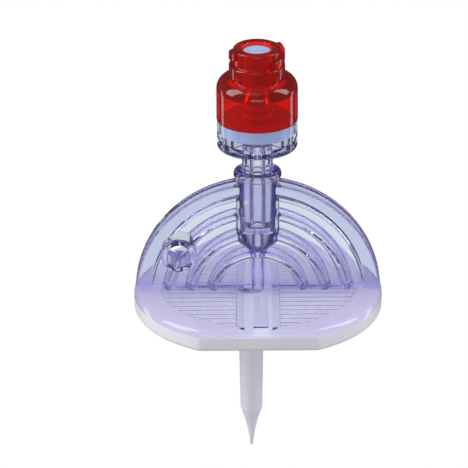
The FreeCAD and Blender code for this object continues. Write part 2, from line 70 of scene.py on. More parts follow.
MM = 0.001
FULL_TURN = 2 * math.pi
HOUSING = "housing"
SMOOTH_ANGLE = math.radians(24)

# Gaps, overlaps and tolerances
SEAM_GAP = 0.015 * MM
CONTACT = 0.01 * MM
OVERLAP = 0.3 * MM
RIB_BURIED = 0.1 * MM
LUG_TRIM = 0.02 * MM
MERGE = 1e-7
NEAR = 1e-6

# Small roundings
FLOOR_STEP = 0.24 * MM
MALE_EDGE = 0.15 * MM
SPLIT_EDGE = 0.12 * MM
POCKET_EDGE = 0.2 * MM
LUG_EDGE = 0.12 * MM
CHAMBER_EDGE = 0.05 * MM
COLLAR_EDGE = 0.22 * MM
NECK_EDGE = 0.1 * MM
CREASE = 0.001 * MM
FLANGE_EDGE = 0.1 * MM
CREST_ROUNDING = 0.25 * MM
VALLEY_ROUNDING = 0.2 * MM
INNER_ROUNDING = 0.15 * MM

# How many ribs hold the piston's flange, folds its bellows has, and lugs its thread has
SEAT_RIBS = 8
BELLOWS_FOLDS = 3
THREAD_STARTS = 2

# Facets of a full turn and of the wall's half turn, and steps along a thread lug
PLATE_FACETS = 192
FIELD_FACETS = 160
WALL_FACETS = 160
VALVE_FACETS = 128
NARROW_FACETS = 96
ROD_FACETS = 64
WAY_FACETS = 32
LUG_STEPS = 36

# The studio: what light through clear plastic sees, what gloss sees, and where things stand
PALE_BACKDROP = (0.80, 0.92, 0.89)
# Painted shadow: the darker patch of floor under the object, as clear plastic sees it
PAINTED_FLOOR_SHADOW = (0.25, 0.27, 0.32)
DARK_SKY = (0.02, 0.025, 0.06)
HIGH_SKY = (0.45, 0.45, 0.55)
DARK_ROOM = (0.05, 0.05, 0.07)
FLAG_SHADE = (0.04, 0.05, 0.10)
EDGE_LIGHT_SHADE = (2.2, 2.0, 1.9)
ROOM_SHADE = (0.97, 0.97, 1.0)
ROOM_STRENGTH = 0.45
FLOOR_SHADE = (0.5, 0.5, 0.52)
FLOOR_SIZE = 4.0
FLOOR_DROP = 30 * MM
CARD_FOOT = -50 * MM
LAMP_TARGET_Z = 12 * MM

# The camera, and where the photograph shows the plate's seam on the hub's axis
FRAME_PIXELS = 468
SEAM_PIXEL = (258, 292)
PIXELS_PER_METRE = 7.10 / MM
VIEW_ELEVATION = math.radians(24.5)
VIEW_ROLL = math.radians(-0.35)
VIEW_DISTANCE = 1000 * MM


# Tools for modelling

def deselect():
    """Leaves edit mode and selects nothing."""
    if bpy.context.mode != "OBJECT":
        bpy.ops.object.mode_set(mode="OBJECT")
    bpy.ops.object.select_all(action="DESELECT")


def only(piece):
    """Makes one piece the only selected one, and the active one."""
    deselect()
    piece.select_set(True)
    bpy.context.view_layer.objects.active = piece
    return piece


def name_last(name):
    """Names the piece that was added last, and its mesh."""
    piece = bpy.context.active_object
    piece.name = name
    piece.data.name = name
    return piece


def select_parts(piece, kind, wanted):
    """Selects the vertices, edges or faces of the piece in edit mode for which wanted holds."""
    bpy.ops.mesh.select_mode(type=kind)
    bpy.ops.mesh.select_all(action="DESELECT")
    shape = bmesh.from_edit_mesh(piece.data)
    parts = {"VERT": shape.verts, "EDGE": shape.edges, "FACE": shape.faces}[kind]
    count = 0
    for part in parts:
        if wanted(part):
            part.select_set(True)
            count += 1
    if not count:
        raise RuntimeError(f"{piece.name}: nothing to select")
    shape.select_flush_mode()
    bmesh.update_edit_mesh(piece.data)


def recalculate_normals():
    """Merges doubles and turns all faces outwards, in edit mode."""
    bpy.ops.mesh.select_all(action="SELECT")
    bpy.ops.mesh.remove_doubles(threshold=MERGE)
    bpy.ops.mesh.normals_make_consistent(inside=False)


def arc_points(centre, radius, start, end, steps):
    """Points of an arc in a section, from one angle in degrees to another."""
    angles = [math.radians(start + (end - start) * step / steps) for step in range(steps + 1)]
    return [(centre[0] + radius * math.cos(a), centre[1] + radius * math.sin(a)) for a in angles]


def rounded(corners, steps=6):
    """A section's outline. A corner is (out, up), or (out, up, radius) where it is round."""
    points = []
    for index, corner in enumerate(corners):
        here = Vector(corner[:2])
        if len(corner) == 2:
            points.append(here)
            continue
        before = Vector(corners[index - 1][:2]) - here
        after = Vector(corners[(index + 1) % len(corners)][:2]) - here
        half = before.angle(after) / 2
        reach = corner[2] / math.tan(half)
        inward = (before.normalized() + after.normalized()).normalized()
        middle = here + inward * corner[2] / math.sin(half)
        first = here + before.normalized() * reach - middle
        last = here + after.normalized() * reach - middle
        sweep = first.angle_signed(last)
        for step in range(steps + 1):
            turned = first.copy()
            turned.rotate(Matrix.Rotation(-sweep * step / steps, 2))
            points.append(middle + turned)
    return points


def draw_outline(name, points, place):
    """A closed wire outline: one vertex extruded from point to point. place puts a point in space."""
    deselect()
    bpy.ops.mesh.primitive_plane_add(size=MM)
    piece = name_last(name)
    bpy.ops.object.mode_set(mode="EDIT")
    bpy.ops.mesh.select_mode(type="VERT")
    bpy.ops.mesh.merge(type="CENTER")
    start = place(*points[0])
    bpy.ops.transform.translate(value=start)
    here = start
    for point in points[1:]:
        there = place(*point)
        bpy.ops.mesh.extrude_region_move(TRANSFORM_OT_translate={"value": there - here})
        here = there
    bpy.ops.mesh.select_all(action="SELECT")
    shape = bmesh.from_edit_mesh(piece.data)
    ends = [vertex for vertex in shape.verts if len(vertex.link_edges) == 1]
    bpy.ops.mesh.select_all(action="DESELECT")
    for vertex in ends:
        vertex.select_set(True)
    bmesh.update_edit_mesh(piece.data)
    bpy.ops.mesh.edge_face_add()
    bpy.ops.mesh.select_all(action="SELECT")
    return piece


def turned(name, points, axis_x, facets=VALVE_FACETS):
    """A solid of revolution about the upright line at axis_x, from its section's outline."""
    piece = draw_outline(name, points, lambda out, up: Vector((axis_x + out, 0, up)))
    bpy.ops.mesh.spin(steps=facets, angle=FULL_TURN, center=(axis_x, 0, 0), axis=(0, 0, 1))
    recalculate_normals()
    bpy.ops.object.mode_set(mode="OBJECT")
    return piece


def cut_with(piece, tool, operation="DIFFERENCE"):
    """Joins the tool to the piece, or takes it away, and deletes it."""
    only(piece)
    change = piece.modifiers.new(operation.lower(), "BOOLEAN")
    change.operation = operation
    change.object = tool
    change.solver = "EXACT"
    bpy.ops.object.modifier_apply(modifier=change.name)
    bpy.data.objects.remove(tool)


def add_block(name, low, high):
    """A plain block between two corners, used as a tool or a bar."""
    deselect()
    middle = [(a + b) / 2 for a, b in zip(low, high)]
    bpy.ops.mesh.primitive_cube_add(size=1, location=middle, scale=[b - a for a, b in zip(low, high)])
    piece = name_last(name)
    bpy.ops.object.transform_apply(location=True, rotation=True, scale=True)
    return piece


def add_rod(name, radius, start, end, facets=ROD_FACETS):
    """A plain rod between two points, used as a tool or a core."""
    deselect()
    start, end = Vector(start), Vector(end)
    along = end - start
    bpy.ops.mesh.primitive_cylinder_add(
        vertices=facets, radius=radius, depth=along.length, location=(start + end) / 2,
        rotation=along.to_track_quat("Z", "Y").to_euler())
    piece = name_last(name)
    bpy.ops.object.transform_apply(location=True, rotation=True, scale=True)
    return piece


def join(first, others):
    """Joins other pieces to the first one, in one mesh."""
    only(first)
    for other in others:
        other.select_set(True)
    bpy.ops.object.join()
    return first


def finish(piece, node, material):
    """Smooths the piece, gives it its finish and puts it in the place of its node."""
    only(piece)
    bpy.ops.object.mode_set(mode="EDIT")
    bpy.ops.mesh.select_all(action="SELECT")
    bpy.ops.mesh.remove_doubles(threshold=MERGE)
    bpy.ops.mesh.dissolve_degenerate(threshold=MERGE)
    bpy.ops.object.mode_set(mode="OBJECT")
    bpy.ops.object.shade_smooth_by_angle(angle=SMOOTH_ANGLE)
    weights = piece.modifiers.new("even_normals", "WEIGHTED_NORMAL")
    weights.keep_sharp = True
    weights.weight = 100
    bpy.ops.object.modifier_apply(modifier=weights.name)
    piece.data.materials.clear()
    piece.data.materials.append(material)
    piece.name = node + "_finished"
    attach(piece, HOUSING)
    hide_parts(node)


# Sizes and colours

def size(name, description, millimetres):
    """A length that a user may change, given in millimetres."""
    return bpy.props.FloatProperty(
        name=name, description=description, default=millimetres * MM, subtype="DISTANCE", unit="LENGTH",
        precision=5)


def angle(name, description, degrees):
    """An angle that a user may change, given in degrees."""
    return bpy.props.FloatProperty(
        name=name, description=description, default=math.radians(degrees), subtype="ANGLE", unit="ROTATION")


def amount(name, description, value):
    """A plain number that a user may change."""
    return bpy.props.FloatProperty(name=name, description=description, default=value)


def colour(name, description, value):
    """A colour that a user may change."""
    return bpy.props.FloatVectorProperty(
        name=name, description=description, default=value, size=3, min=0, max=1, subtype="COLOR")


class PlateSizes(bpy.types.PropertyGroup):
    radius: size("Radius", "Radius of the round plate", 17.4)
    flat_reach: size("Flat reach", "From the middle to the flats at the front and back", 15.3)
    corner_radius: size("Corner radius", "Rounding where a flat meets the round side", 1.3)
    hub_x: size("Hub axis", "The hub's axis, seen from the spike's", 1.0)
    seam_z: size("Seam height", "Height where the clear cover meets the white base", 2.1)
    base_edge: size("Base edge", "Rounding of the base's lower edge", 0.65)
    top_z: size("Top height", "Height of the cover's raised band", 3.35)
    top_edge: size("Top edge", "Rounding of the cover's upper edge", 1.05)
    floor_radius: size("Floor radius", "Radius of the shallow floor inside the band", 14.0)
    floor_z: size("Floor height", "Height of the shallow floor", 3.1)
    field_radius: size("Field radius", "Radius of the ribbed fields over the filters", 13.6)
    field_depth: size("Field depth", "Depth of the ribbed fields in the cover's underside", 0.06)
    field_reach: size("Field reach", "From the hub's axis to the ribbed fields", 1.95)
    rib_start: size("Rib start", "From the hub's axis to the ribs", 2.8)
    rib_pitch: size("Rib pitch", "From one rib to the next", 1.4)
    rib_width: size("Rib width", "Width of a rib over the filters", 0.7)
    chamber_radius: size("Chamber radius", "Radius of the filter chambers in the base", 12.8)
    chamber_reach: size("Chamber reach", "From the hub's axis to the filter chambers", 3.8)
    chamber_z: size("Chamber floor", "Height of the chambers' floor", 1.0)
    seat_z: size("Seat height", "Height of the ledge under the filters", 1.9)
    seat_reach: size("Seat reach", "From the hub's axis to the filters' ledge", 3.0)
    support_pitch: size("Support pitch", "From one support rib to the next", 2.4)
    support_width: size("Support width", "Width of a rib under the filters", 0.5)
    vent_left: size("Vent left", "Left side of the vent, seen from the hub's axis", -0.7)
    vent_right: size("Vent right", "Right side of the vent, seen from the hub's axis", 1.4)
    vent_front: size("Vent front", "Front of the vent", -14.5)
    vent_back: size("Vent back", "Back of the vent", -13.6)
    channel_end: size("Channel end", "Back of the vent channel", -2.7)


class SpikeSizes(bpy.types.PropertyGroup):
    radius: size("Radius", "Radius of the spike's shank", 1.7)
    shank_z: size("Shank end", "Height where the spike starts to taper", -6.0)
    end_radius: size("End radius", "Radius where the hollow point starts", 1.53)
    end_z: size("Point start", "Height where the hollow point starts", -15.7)
    hollow_radius: size("Hollow radius", "Radius of the point's hollow flank", 21.5)
    tip_radius: size("Tip radius", "Radius of the blunt tip", 0.22)
    tip_z: size("Tip height", "Height of the tip", -21.8)
    lumen_radius: size("Lumen radius", "Radius of each of the two ways through the spike", 0.5)
    lumen_x: size("Lumen place", "From the spike's axis to a way's axis", 0.75)
    lumen_end: size("Lumen end", "Height where the two ways end", -16.1)
    eye_width: size("Eye width", "Width of a way's opening at the point", 0.8)
    eye_top: size("Eye top", "Upper end of a way's opening", -13.9)


class GripSizes(bpy.types.PropertyGroup):
    radius: size("Radius", "Radius of the half disc", 17.2)
    thickness: size("Thickness", "Thickness of the web between the ribs", 1.4)
    reach: size("Reach", "From the middle plane to the top of a rib", 1.65)
    rim_width: size("Rim width", "Width of the thick rim", 2.2)
    rim_reach: size("Rim reach", "From the middle plane to the rim's face", 1.8)
    rim_rounding: size("Rim rounding", "Rounding of the rim's edges", 0.25)
    rib_width: size("Rib width", "Width of a rib", 0.95)
    rib_pitch: size("Rib pitch", "From one rib to the next", 3.03)
    rounding: size("Rounding", "Rounding along a rib's top", 0.4)
    foot_rounding: size("Foot rounding", "Rounding where a rib meets the web", 0.54)
    boss_x: size("Boss place", "The side boss, seen from the spike's axis", -10.05)
    boss_z: size("Boss height", "Height of the side boss's axis", 9.5)
    boss_radius: size("Boss radius", "Outer radius of the side boss", 2.5)
    boss_bore: size("Boss bore", "Radius of the side boss's bore", 1.65)
    boss_reach: size("Boss reach", "From the middle plane to the boss's face", 4.0)
    boss_edge: size("Boss edge", "Rounding of the boss's face", 0.3)


class HubSizes(bpy.types.PropertyGroup):
    radius: size("Radius", "Outer radius of the hub", 3.1)
    collar_radius: size("Collar radius", "Radius of the collar at the hub's mouth", 3.35)
    top_z: size("Top height", "Height of the hub's mouth", 21.1)
    collar_z: size("Collar height", "Height where the collar starts", 20.0)
    edge: size("Edge", "Rounding of the collar's edge", 0.6)
    foot_z: size("Foot height", "Height where the hub narrows to its down tube", 10.6)
    tube_radius: size("Tube radius", "Radius of the thin tube down to the plate", 1.25)
    bore: size("Bore", "Radius of the liquid's way", 0.55)
    socket_z: size("Socket floor", "Height of the luer socket's floor", 12.1)
    socket_mouth: size("Socket mouth", "Radius of the luer socket at its mouth", 2.135)
    taper: amount("Taper", "Change of radius along a luer cone, per length", 0.03)
    spigot_radius: size("Spigot radius", "Radius of the spigot that enters the base", 1.8)
    spigot_z: size("Spigot end", "Height of the spigot's lower end", 1.3)


class ValveSizes(bpy.types.PropertyGroup):
    male_z: size("Male end", "Height of the male luer's lower end", 12.8)
    clearance: size("Clearance", "Gap round the male luer in its socket", 0.02)
    base_z: size("Body foot", "Height of the lower housing's underside", 24.75)
    base_radius: size("Body radius", "Radius of the lower housing", 5.6)
    base_edge: size("Body edge", "Rounding of the lower housing's underside", 0.3)
    seat_z: size("Seat height", "Height of the flange's seat", 27.1)
    split_z: size("Split height", "Height where the two housings meet", 28.9)
    seat_radius: size("Seat radius", "Radius of the recess that holds the flange", 5.2)
    pocket_z: size("Pocket floor", "Height of the pocket's floor under the flange", 25.8)
    pocket_radius: size("Pocket radius", "Radius of the pocket under the flange", 4.5)
    seat_rib: size("Seat rib", "Width of a rib in the pocket", 0.5)
    cannula_radius: size("Cannula radius", "Outer radius of the inner cannula", 0.9)
    cannula_bore: size("Cannula bore", "Radius of the cannula's bore", 0.45)
    cannula_z: size("Cannula top", "Height of the cannula's top", 34.6)
    male_bore: size("Male bore", "Radius of the male luer's bore", 0.75)
    cap_radius: size("Cap radius", "Radius of the red housing's skirt", 5.68)
    shoulder_z: size("Shoulder height", "Height where the round shoulder starts", 33.44)
    shoulder_radius: size("Shoulder radius", "Rounding of the shoulder", 1.76)
    collar_z: size("Collar height", "Height of the collar's upper face", 37.2)
    neck_radius: size("Neck radius", "Radius of the threaded neck", 3.34)
    neck_edge: size("Neck edge", "Rounding of the port's outer edge", 0.25)
    port_z: size("Port height", "Height of the luer port", 39.5)
    port_floor: size("Port floor", "Height where the port opens into the chamber", 34.0)
    chamber_radius: size("Chamber radius", "Radius of the chamber round the bellows", 4.85)
    cone_z: size("Cone foot", "Height where the chamber starts to narrow", 33.1)
    lug_radius: size("Lug radius", "Radius of the thread's crest", 3.92)
    lug_z: size("Lug height", "Height of the middle of a thread lug", 38.25)
    lug_lead: size("Lug lead", "Rise of the thread in a full turn", 5.0)
    lug_root: size("Lug root", "Width of a lug at its root", 1.6)
    lug_crest: size("Lug crest", "Width of a lug at its crest", 1.1)
    lug_sweep: angle("Lug sweep", "How far a lug runs round the neck", 90)
    lug_turn: angle("Lug turn", "Where a lug's middle stands, clockwise from the right", 12)


class PistonSizes(bpy.types.PropertyGroup):
    flange_radius: size("Flange radius", "Radius of the clamped flange", 5.15)
    bellows_radius: size("Bellows radius", "Radius of the bellows at a crest", 2.3)
    fold_depth: size("Fold depth", "Depth of a bellows fold", 0.4)
    wall: size("Wall", "Wall of the bellows", 0.6)
    bellows_z: size("Bellows top", "Height of the bellows' top", 32.8)
    head_foot_z: size("Head foot", "Height where the head starts", 33.7)
    head_z: size("Head height", "Height of the head's face", 39.0)
    head_radius: size("Head radius", "Radius of the head at its face", 2.05)
    head_edge: size("Head edge", "Rounding of the head's face", 0.2)
    cavity_radius: size("Cavity radius", "Radius of the cavity in the head", 1.05)
    cavity_z: size("Cavity top", "Height of the cavity's top", 35.6)
    slit_length: size("Slit length", "Length of the slit in the head", 2.4)
    slit_width: size("Slit width", "Width of the slit in the head", 0.08)
    travel: size("Travel", "How far the piston's head is pressed down", 5.0)


class Finishes(bpy.types.PropertyGroup):
    violet: colour("Violet", "What clear violet plastic lets through", (0.44, 0.38, 0.82))
    violet_density: amount("Violet density", "How fast the violet plastic takes up light, per metre", 160)
    clear: colour("Clear", "What the valve's clear plastic lets through", (0.52, 0.39, 0.80))
    clear_density: amount("Clear density", "How fast the clear plastic takes up light, per metre", 140)
    clear_body: colour("Clear body", "Surface colour of the clear and violet plastic", (0.96, 0.96, 1.0))
    clear_share: amount("Clear share", "Share of light that their surface lets in", 0.98)
    red: colour("Red", "What the red plastic lets through", (0.975, 0.06, 0.04))
    red_density: amount("Red density", "How fast the red plastic takes up light, per metre", 2900)
    red_body: colour("Red body", "Surface colour of the red plastic", (0.95, 0.10, 0.08))
    red_share: amount("Red share", "Share of light that its surface lets in", 0.90)
    white: colour("White", "Moulded white plastic", (0.80, 0.80, 0.86))
    membrane: colour("Membrane", "Porous filter film", (0.86, 0.86, 0.90))
    silicone: colour("Silicone", "Pale blue silicone", (0.38, 0.53, 0.82))
    backdrop: amount("Backdrop", "How bright the backdrop looks, where 1 is white", 1.0)


GROUPS = {
    "spike_plate": PlateSizes, "spike_point": SpikeSizes, "spike_grip": GripSizes, "spike_hub": HubSizes,
    "spike_valve": ValveSizes, "spike_piston": PistonSizes, "spike_finishes": Finishes,
}


def groups_of(context, *names):
    """The scene's groups of sizes and finishes with these names."""
    return [getattr(context.scene, "spike_" + name) for name in names]


# Finishes

PLASTIC_IOR = 1.49
RELIEF_DEPTH = 0.02 * MM


def moulding_marks():
    """Shader group: the faint flow marks and fine grain of an injection moulding."""
    name = "moulding_marks"
    if name in bpy.data.node_groups:
        return bpy.data.node_groups[name]
    group = bpy.data.node_groups.new(name, "ShaderNodeTree")
    inputs = {"Flow Scale": 120.0, "Grain Scale": 2500.0, "Roughness": 0.1, "Spread": 0.05}
    for label, default in inputs.items():
        socket = group.interface.new_socket(name=label, in_out="INPUT", socket_type="NodeSocketFloat")
        socket.default_value = default
    for label in ("Roughness", "Height", "Mask"):
        group.interface.new_socket(name=label, in_out="OUTPUT", socket_type="NodeSocketFloat")
    nodes, links = group.nodes, group.links
    inside, outside = nodes.new("NodeGroupInput"), nodes.new("NodeGroupOutput")
    place = nodes.new("ShaderNodeTexCoord")
    flow, grain = nodes.new("ShaderNodeTexNoise"), nodes.new("ShaderNodeTexNoise")
    flow.inputs["Detail"].default_value = 3.0
    grain.inputs["Detail"].default_value = 2.0
    links.new(place.outputs["Object"], flow.inputs["Vector"])
    links.new(place.outputs["Object"], grain.inputs["Vector"])
    links.new(inside.outputs["Flow Scale"], flow.inputs["Scale"])
    links.new(inside.outputs["Grain Scale"], grain.inputs["Scale"])
    spread = nodes.new("ShaderNodeMath")
    spread.operation = "MULTIPLY_ADD"
    links.new(flow.outputs["Fac"], spread.inputs[0])
    links.new(inside.outputs["Spread"], spread.inputs[1])
    links.new(inside.outputs["Roughness"], spread.inputs[2])
    links.new(spread.outputs[0], outside.inputs["Roughness"])
    links.new(grain.outputs["Fac"], outside.inputs["Height"])
    links.new(flow.outputs["Fac"], outside.inputs["Mask"])
    return group


def new_material(name):
    """A material with its nodes and links."""
    material = bpy.data.materials.new(name)
    material.use_nodes = True
    return material, material.node_tree.nodes, material.node_tree.links


def add_marks(nodes, links, shader, roughness, spread, bump, flow_scale=120.0, grain_scale=2500.0):
    """Gives a shader the moulding's uneven roughness and, where bump isn't 0, its fine relief."""
    marks = nodes.new("ShaderNodeGroup")
    marks.node_tree = moulding_marks()
    marks.inputs["Flow Scale"].default_value = flow_scale
    marks.inputs["Grain Scale"].default_value = grain_scale
    marks.inputs["Roughness"].default_value = roughness
    marks.inputs["Spread"].default_value = spread
    links.new(marks.outputs["Roughness"], shader.inputs["Roughness"])
    if bump:
        relief = nodes.new("ShaderNodeBump")
        relief.inputs["Strength"].default_value = bump
        relief.inputs["Distance"].default_value = RELIEF_DEPTH
        links.new(marks.outputs["Height"], relief.inputs["Height"])
        links.new(relief.outputs["Normal"], shader.inputs["Normal"])
    return marks


def clear_plastic(name, tint, density, roughness, body, share):
    """Clear plastic that takes up light inside, and lets lamps reach what it covers."""
    material, nodes, links = new_material(name)
    shader, output = nodes["Principled BSDF"], nodes["Material Output"]
    shader.inputs["Base Color"].default_value = (*body, 1)
    shader.inputs["Transmission Weight"].default_value = share
    shader.inputs["IOR"].default_value = PLASTIC_IOR
    add_marks(nodes, links, shader, roughness, roughness, 0.0)
    inside = nodes.new("ShaderNodeVolumeAbsorption")
    inside.inputs["Color"].default_value = (*tint, 1)
    inside.inputs["Density"].default_value = density
    links.new(inside.outputs["Volume"], output.inputs["Volume"])
    lamps, path = nodes.new("ShaderNodeBsdfTransparent"), nodes.new("ShaderNodeLightPath")
    either, choice = nodes.new("ShaderNodeMath"), nodes.new("ShaderNodeMixShader")
    either.operation = "MAXIMUM"
    links.new(path.outputs["Is Shadow Ray"], either.inputs[0])
    links.new(path.outputs["Is Diffuse Ray"], either.inputs[1])
    links.new(either.outputs[0], choice.inputs["Fac"])
    links.new(shader.outputs["BSDF"], choice.inputs[1])
    links.new(lamps.outputs["BSDF"], choice.inputs[2])
    links.new(choice.outputs["Shader"], output.inputs["Surface"])
    return material


def opaque_finish(name, tint, darkest, roughness, spread, bump, scales=None, scatter=None):
    """An opaque finish. Its flow marks shade it down to a share of its tint.

    scatter is (weight, radius, scale), where light spreads a little under the surface."""
    material, nodes, links = new_material(name)
    shader = nodes["Principled BSDF"]
    marks = add_marks(nodes, links, shader, roughness, spread, bump, **(scales or {}))
    shade = nodes.new("ShaderNodeMix")
    shade.data_type = "RGBA"
    shade.inputs["A"].default_value = (*(darkest * c for c in tint), 1)
    shade.inputs["B"].default_value = (*tint, 1)
    links.new(marks.outputs["Mask"], shade.inputs["Factor"])
    links.new(shade.outputs["Result"], shader.inputs["Base Color"])
    if scatter:
        weight, radius, scale = scatter
        shader.inputs["Subsurface Weight"].default_value = weight
        shader.inputs["Subsurface Radius"].default_value = radius
        shader.inputs["Subsurface Scale"].default_value = scale
    return material


def white_plastic(tint):
    """Satin moulded white plastic."""
    return opaque_finish("white_plastic", tint, darkest=0.96, roughness=0.26, spread=0.12, bump=0.25,
                         scatter=(0.2, (1.0, 1.0, 1.0), 0.6 * MM))


def silicone(tint):
    """Satin silicone, cloudier than the plastic."""
    return opaque_finish("silicone", tint, darkest=0.94, roughness=0.38, spread=0.12, bump=0.3,
                         scales={"flow_scale": 300.0}, scatter=(0.4, (0.8, 0.9, 1.0), 0.8 * MM))


def porous_film(tint):
    """Matt porous film with a fine grain."""
    return opaque_finish("filter_membrane", tint, darkest=0.92, roughness=0.75, spread=0.1, bump=0.6,
                         scales={"grain_scale": 6000.0})


# Pieces

def plate_blank(name, plate, low_z, high_z, edge_z, edge_radius):
    """The round plate with its two flats, one of its two rims rounded."""
    deselect()
    bpy.ops.mesh.primitive_cylinder_add(
        vertices=PLATE_FACETS, radius=plate.radius, depth=high_z - low_z,
        location=(plate.hub_x, 0, (low_z + high_z) / 2))
    piece = name_last(name)
    bpy.ops.object.transform_apply(location=True, rotation=True, scale=True)
    bpy.ops.object.mode_set(mode="EDIT")
    for side in (-1, 1):
        bpy.ops.mesh.select_all(action="SELECT")
        bpy.ops.mesh.bisect(plane_co=(0, side * plate.flat_reach, 0), plane_no=(0, side, 0),
                            use_fill=True, clear_outer=True, threshold=MERGE)

    def is_corner(edge):
        low, high = (vertex.co for vertex in edge.verts)
        upright = abs(low.x - high.x) + abs(low.y - high.y) < NEAR
        return upright and abs(abs(low.y) - plate.flat_reach) < NEAR

    select_parts(piece, "EDGE", is_corner)
    turn = math.acos(plate.flat_reach / plate.radius)
    bpy.ops.mesh.bevel(offset=plate.corner_radius * math.tan(turn / 2), segments=6, affect="EDGES")
    select_parts(piece, "EDGE", lambda edge: all(abs(v.co.z - edge_z) < NEAR for v in edge.verts))
    bpy.ops.mesh.bevel(offset=edge_radius, segments=10, affect="EDGES")
    bpy.ops.object.mode_set(mode="OBJECT")
    return piece


def d_field(name, centre_x, side, radius, reach, low_z, high_z):
    """A D-shaped block on one side of the middle strip."""
    piece = add_rod(name, radius, (centre_x, 0, low_z), (centre_x, 0, high_z), FIELD_FACETS)
    bpy.ops.object.mode_set(mode="EDIT")
    bpy.ops.mesh.select_all(action="SELECT")
    bpy.ops.mesh.bisect(plane_co=(centre_x + side * reach, 0, 0), plane_no=(-side, 0, 0),
                        use_fill=True, clear_outer=True, threshold=MERGE)
    bpy.ops.object.mode_set(mode="OBJECT")
    return piece


class MESH_OT_spike_base(bpy.types.Operator):
    """White one-piece moulding: plate, filter chambers and hollow spike"""
    bl_idname = "mesh.spike_base"
    bl_label = "White base and spike"

    def execute(self, context):
        plate, point, hub, valve, finishes = groups_of(context, "plate", "point", "hub", "valve", "finishes")
        top = plate.seam_z + CONTACT
        piece = plate_blank("base", plate, 0, top, 0, plate.base_edge)
        steps = int((plate.chamber_radius - plate.support_width) / plate.support_pitch)
        for side in (-1, 1):
            seat = d_field("seat", plate.hub_x, side, plate.field_radius, plate.seat_reach,
                           plate.seat_z, top + OVERLAP)
            cut_with(piece, seat)
            chamber = d_field("chamber", plate.hub_x, side, plate.chamber_radius, plate.chamber_reach,
                              plate.chamber_z, plate.seat_z + OVERLAP)
            for step in range(1, steps + 1):
                middle = plate.hub_x + side * step * plate.support_pitch
                left, right = middle - plate.support_width / 2, middle + plate.support_width / 2
                if step * plate.support_pitch > plate.chamber_reach:
                    cut_with(chamber, add_block("support", (left, -plate.radius, plate.chamber_z - OVERLAP),
                                                (right, plate.radius, plate.seat_z)))
            cut_with(piece, chamber)

        hollow = Vector((point.end_radius, point.end_z))
        tip = Vector((point.tip_radius, point.tip_z + point.tip_radius))
        chord = tip - hollow
        outward = Vector((-chord.y, chord.x)).normalized()
        rise = math.sqrt(point.hollow_radius ** 2 - (chord.length / 2) ** 2)
        middle = (hollow + tip) / 2 + outward * rise
        first, last = (math.degrees(math.atan2(*(p - middle).yx)) % 360 for p in (hollow, tip))
        outline = [Vector((0, plate.chamber_z / 2)), Vector((point.radius, plate.chamber_z / 2)),
                   Vector((point.radius, point.shank_z))]
        outline += arc_points(middle, point.hollow_radius, first, last, steps=24)
        outline += arc_points((0, tip.y), point.tip_radius, 0, -90, steps=6)[1:]
        spike = turned("spike", outline, 0, NARROW_FACETS)
        cut_with(piece, spike, "UNION")

        cut_with(piece, add_rod("well", hub.spigot_radius + 2 * valve.clearance, (0, 0, hub.spigot_z),
                                (0, 0, top + OVERLAP)))
        for side in (-1, 1):
            x = side * point.lumen_x
            way = add_rod("way", point.lumen_radius, (x, 0, point.lumen_end), (x, 0, hub.spigot_z + OVERLAP),
                          WAY_FACETS)
            cut_with(piece, way)
            eye = add_block("eye", (x - point.eye_width / 2, 0, point.end_z),
                            (x + point.eye_width / 2, 2 * point.radius, point.eye_top))
            cut_with(piece, eye)
        finish(piece, "spike_base", white_plastic(finishes.white))
        return {"FINISHED"}


class MESH_OT_filter_membranes(bpy.types.Operator):
    """Finish of the two air filter membranes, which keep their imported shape"""
    bl_idname = "mesh.filter_membranes"
    bl_label = "Filter membranes"

    def execute(self, context):
        finishes, = groups_of(context, "finishes")
        material = porous_film(finishes.membrane)
        for name in ("filter_membrane_left", "filter_membrane_right"):
            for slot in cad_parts[name].material_slots:
                slot.material = material
        return {"FINISHED"}


def grip_section(grip):
    """Section of the whole wall, from one face to the other: (out from the centre, across)."""
    rim = grip.radius - grip.rim_width
    face = grip.thickness / 2
    front = [(0, face)]
    for step in (3, 2, 1):
        inner = rim - step * grip.rib_pitch
        outer = inner + grip.rib_width
        front += [(inner, face, grip.foot_rounding), (inner, grip.reach, grip.rounding),
                  (outer, grip.reach, grip.rounding), (outer, face, grip.foot_rounding)]
    front += [(rim, face, grip.foot_rounding), (rim, grip.rim_reach, grip.rim_rounding),
              (grip.radius, grip.rim_reach, grip.rim_rounding)]
    back = [(corner[0], -corner[1], *corner[2:]) for corner in reversed(front)]
    return rounded(front + back)


def cover_wall(plate, grip, top_z):
    """Half disc with a thick rim and concentric ribs on both faces."""
    centre = Vector((plate.hub_x, 0, plate.seam_z))
    piece = draw_outline("wall", grip_section(grip), lambda out, across: centre + Vector((out, across, 0)))
    bpy.ops.mesh.spin(steps=WALL_FACETS, angle=math.pi, center=centre, axis=(0, 1, 0))
    recalculate_normals()
    bpy.ops.mesh.bisect(plane_co=(0, 0, top_z), plane_no=(0, 0, -1), use_fill=True, clear_outer=True,
                        threshold=MERGE)
    bpy.ops.mesh.select_all(action="SELECT")
    bpy.ops.mesh.normals_make_consistent(inside=False)
    bpy.ops.object.mode_set(mode="OBJECT")
    return piece


